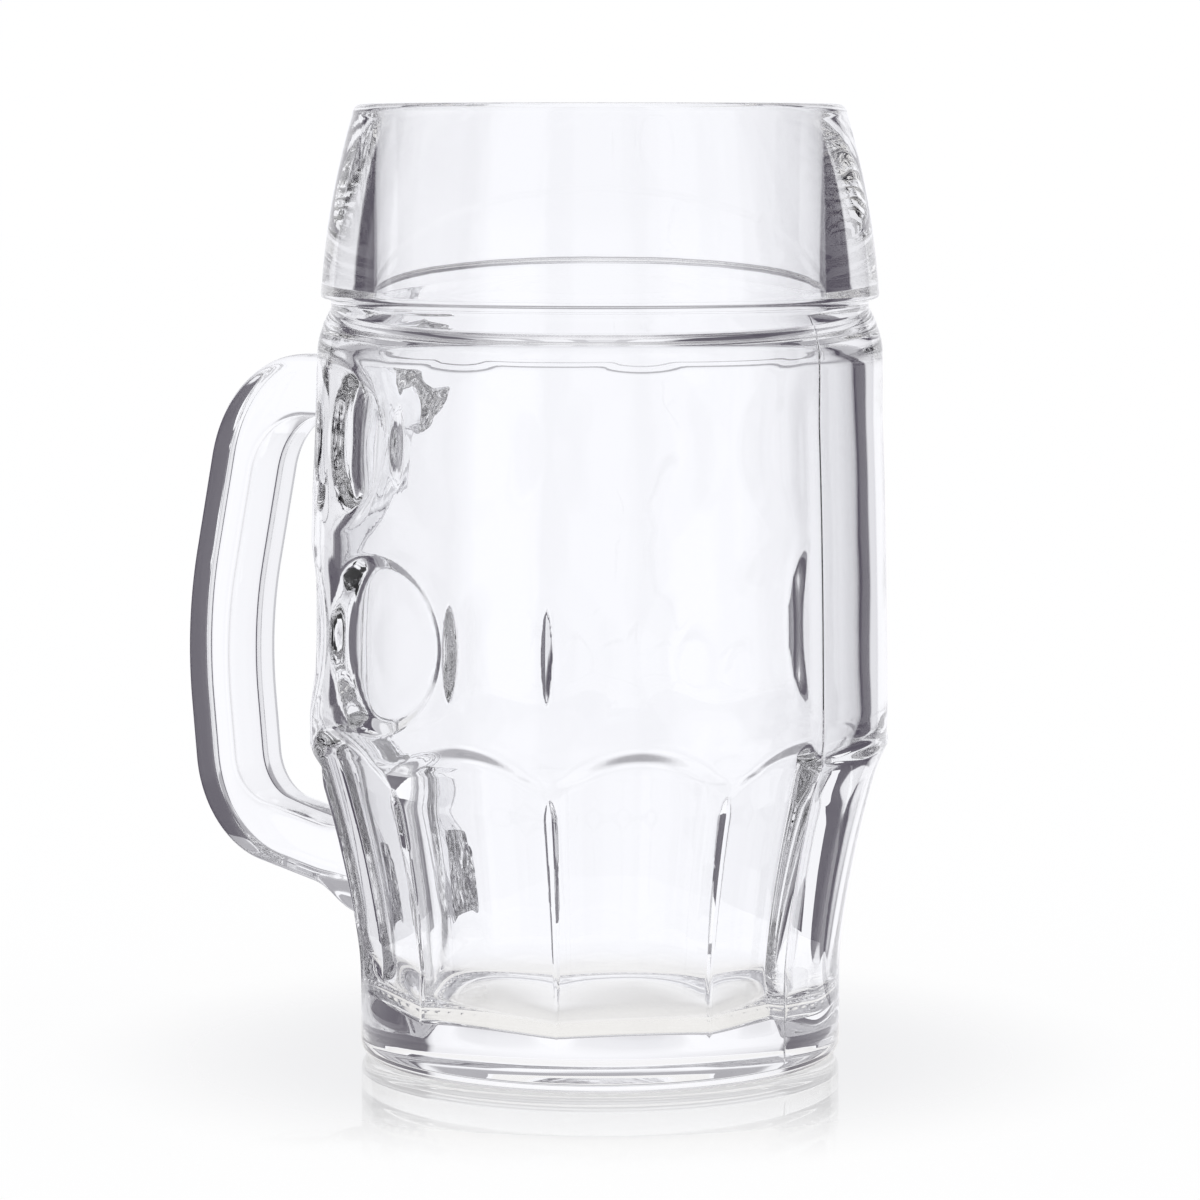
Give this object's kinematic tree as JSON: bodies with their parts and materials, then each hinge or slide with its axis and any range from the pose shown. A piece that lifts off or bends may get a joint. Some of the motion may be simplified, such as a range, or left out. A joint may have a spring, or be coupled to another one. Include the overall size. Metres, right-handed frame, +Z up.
{
  "type": "glass beer mug",
  "caption": "Clear half-litre glass beer mug: dimpled barrel on a fluted, tapering bowl, plain collar at the rim, and a solid glass handle joined on at its two ends.",
  "frame": {"origin": "on the table under the middle of the foot, on the body's upright axis", "axes": "+Z up along the body's axis, +X towards the handle, +Y to the right of someone facing the mug from the handle's side"},
  "size_m": [0.1306, 0.0887, 0.145],
  "materials": {
    "body_glass": "fire-polished clear soda-lime glass",
    "handle_glass": "fire-polished clear soda-lime glass"
  },
  "bodies": {
    "root": {"mug_body": "body_glass", "handle": "handle_glass"}
  },
  "joints": []
}
